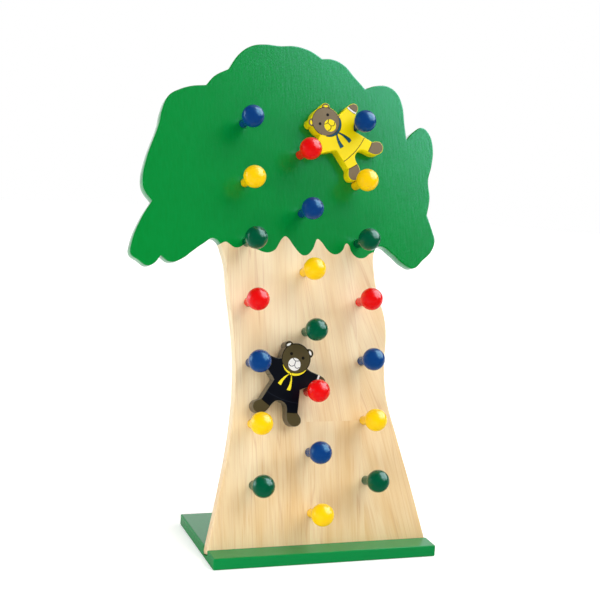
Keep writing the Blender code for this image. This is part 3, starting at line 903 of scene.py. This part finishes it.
def make_pegs():
    """Each peg's dowel and ball, both dipped in the row's colour."""
    finishes = {name: gloss_lacquer(name + "_lacquer", name) for name in sorted(set(PEG_COLOURS))}
    for node in sorted(frame["nodes"]):
        if not node.startswith("ball_"):
            continue
        label = node.removeprefix("ball_")
        colour = PEG_COLOURS[int(label[:2]) - 1]
        ball_low, ball_high = face_box(node)
        stem_low, stem_high = face_box("dowel_" + label)
        radius = (ball_high.x - ball_low.x) / 2
        stem = (stem_high.x - stem_low.x) / 2
        middle = (ball_low + ball_high) / 2
        middle.z = ball_high.z - radius
        foot = Vector((middle.x, middle.y, stem_low.z))
        length = stem_high.z - stem_low.z
        rod = [(0, length), (stem, length), (stem, 0), (0, 0)]
        for kind, profile, place in (("ball", ball_profile(radius, stem), middle), ("dowel", rod, foot)):
            mesh = turned_mesh(f"turned_{kind}_{label}", profile)
            mesh.materials.append(finishes[colour])
            matrix = FACE @ Matrix.Translation(place * MILLIMETRE)
            piece = add_piece(f"turned_{kind}_{label}", mesh, matrix, "tree")
            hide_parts(f"{kind}_{label}")


def make_bears():
    """Both bears with the same prints in their own colours."""
    outline = bear_outline()
    names = list(PRINT_COLOURS)
    prints = [(names.index(name), shape) for name, shape in bear_prints()]
    for index, (bear, lean) in enumerate(BEAR_LEANS.items()):
        low, high = face_box(bear)
        turned = placed(outline, Vector((0, 0)), lean)
        ends = [Vector([pick(point[axis] for point in turned) for axis in range(2)]) for pick in (min, max)]
        place = (low + high).xy / 2 - (ends[0] + ends[1]) / 2
        finishes = [print_paint(f"{bear}_{name}", colours[index]) for name, colours in PRINT_COLOURS.items()]
        # The side walls' finish holds painted light: a lighter colour than the real side paint, for walls in
        # shade
        finishes.append(print_paint(bear + "_edge", EDGE_COLOURS_WITH_PAINTED_LIGHT[index]))
        mesh = sawn_mesh("printed_" + bear, outline, 0, high.z - low.z, BEAR_EDGE_RADIUS, prints,
                         finishes, edge_finish=len(names))
        move = Matrix.Translation(Vector((*place, low.z)) * MILLIMETRE)
        matrix = FACE @ move @ Matrix.Rotation(lean, 4, "Z")
        piece = add_piece("printed_" + bear, mesh, matrix, bear)
        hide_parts(bear)


def finish_node(node, finish):
    """Gives a CAD node that stays in view its finer material."""
    piece = frame["nodes"][node]
    piece.data.materials.clear()
    piece.data.materials.append(finish)


# Camera, lights and floor

def make_camera():
    data = bpy.data.cameras.new("camera")
    data.lens = CAMERA_LENS
    data.sensor_width = SENSOR_WIDTH
    turn = Matrix.Rotation(-CAMERA_YAW, 4, "Z") @ Matrix.Rotation(math.pi / 2 - CAMERA_PITCH, 4, "X")
    matrix = Matrix.Translation(CAMERA_PLACE) @ turn @ Matrix.Rotation(CAMERA_ROLL, 4, "Z")
    bpy.context.scene.camera = add_object("camera", data, matrix)


def make_lights():
    for name, (*angles, distance, radiance) in LIGHTS.items():
        azimuth, elevation, roll, half_width, half_height = [math.radians(angle) for angle in angles]
        data = bpy.data.lights.new(name, "AREA")
        data.shape = "RECTANGLE"
        data.size, data.size_y = [2 * distance * math.tan(half) for half in (half_width, half_height)]
        data.energy = radiance * math.pi * data.size * data.size_y
        level = math.cos(elevation)
        towards = Vector((math.sin(azimuth) * level, -math.cos(azimuth) * level, math.sin(elevation)))
        turn = towards.to_track_quat("Z", "Y").to_matrix().to_4x4() @ Matrix.Rotation(roll, 4, "Z")
        light = add_object(name, data, Matrix.Translation(LIGHT_TARGET + distance * towards) @ turn)
        light.visible_camera = False
        light.visible_diffuse = name not in GLOSS_ONLY
        light.visible_glossy = name not in UNSEEN_IN_GLOSS


def make_world():
    """White for the camera, a dark room with backdrop and ceiling for gloss, soft light, less in front."""
    world = bpy.data.worlds.new("studio")
    world.use_nodes = True
    bpy.context.scene.world = world
    tree = world.node_tree
    path = tree.nodes.new("ShaderNodeLightPath").outputs
    right, back, up = parts_of(tree, tree.nodes.new("ShaderNodeTexCoord").outputs["Generated"])
    behind = times(tree, ranged(tree, back, *BACKDROP_BACK), ranged(tree, right, *BACKDROP_RIGHT))
    far_left = ranged(tree, right, *BACKDROP_FAR_LEFT)
    middle = ranged(tree, right, *BACKDROP_MIDDLE)
    wall = times(tree, behind, math_node(tree, "MAXIMUM", far_left, middle))
    backdrop = times(tree, wall, ranged(tree, up, *BACKDROP_UP))
    ceiling = times(tree, ranged(tree, up, *CEILING_UP), ranged(tree, right, *CEILING_RIGHT))
    in_gloss = plus(tree, plus(tree, backdrop, ceiling), DARK_GLOSS)
    light = mixed(tree, path["Is Glossy Ray"], ranged(tree, back, *SOFT_BACK), in_gloss)
    seen = mixed(tree, path["Is Camera Ray"], light, WHITE_LIGHT)
    tree.links.new(seen, tree.nodes["Background"].inputs["Color"])


def make_floor():
    """Pale floor that looks white to the camera, keeps a soft shadow and is dark in gloss in front."""
    mesh = bpy.data.meshes.new("floor")
    solid = bmesh.new()
    bmesh.ops.create_circle(solid, cap_ends=True, segments=FLOOR_SIDES, radius=FLOOR_RADIUS)
    solid.to_mesh(mesh)
    solid.free()
    floor = add_object("floor", mesh, Matrix.Translation((0, 0, -FLOOR_DROP)))
    made, tree, shader, place = principled("floor", FLOOR_ROUGHNESS)
    shader.inputs["Specular IOR Level"].default_value = 0
    shader.inputs["Emission Color"].default_value = WHITE_LIGHT
    path = tree.nodes.new("ShaderNodeLightPath").outputs
    far = ranged(tree, parts_of(tree, place)["Y"], *FLOOR_BACK)
    hidden = times(tree, path["Is Glossy Ray"], math_node(tree, "SUBTRACT", 1, far))
    tree.links.new(mixed(tree, hidden, "floor", FLOOR_DARK), shader.inputs["Base Color"])
    seen = math_node(tree, "MAXIMUM", path["Is Camera Ray"], times(tree, path["Is Glossy Ray"], far))
    tree.links.new(times(tree, seen, FLOOR_GLOW), shader.inputs["Emission Strength"])
    mesh.materials.append(made)


make_camera()
make_lights()
make_world()
make_floor()
foliage_paint = brushed_paint("foliage_paint", "foliage", "foliage_light", roughness=0.17, specular=0.9,
                              sheen=FOLIAGE_SHEEN, relief=0.00009, grain_noise=FOLIAGE_GRAIN)
make_board(foliage_paint)
make_pegs()
make_bears()
base_paint = brushed_paint("base_paint", "base", None, roughness=0.22, specular=0.35,
                           sheen=BASE_SHEEN, relief=0.00003, grain_noise=BASE_GRAIN)
finish_node("base_plate", base_paint)
screw_finish = zinc()
for number in (1, 2, 3):
    finish_node(f"base_screw_{number}", screw_finish)
bpy.context.scene.view_settings.view_transform = "Standard"
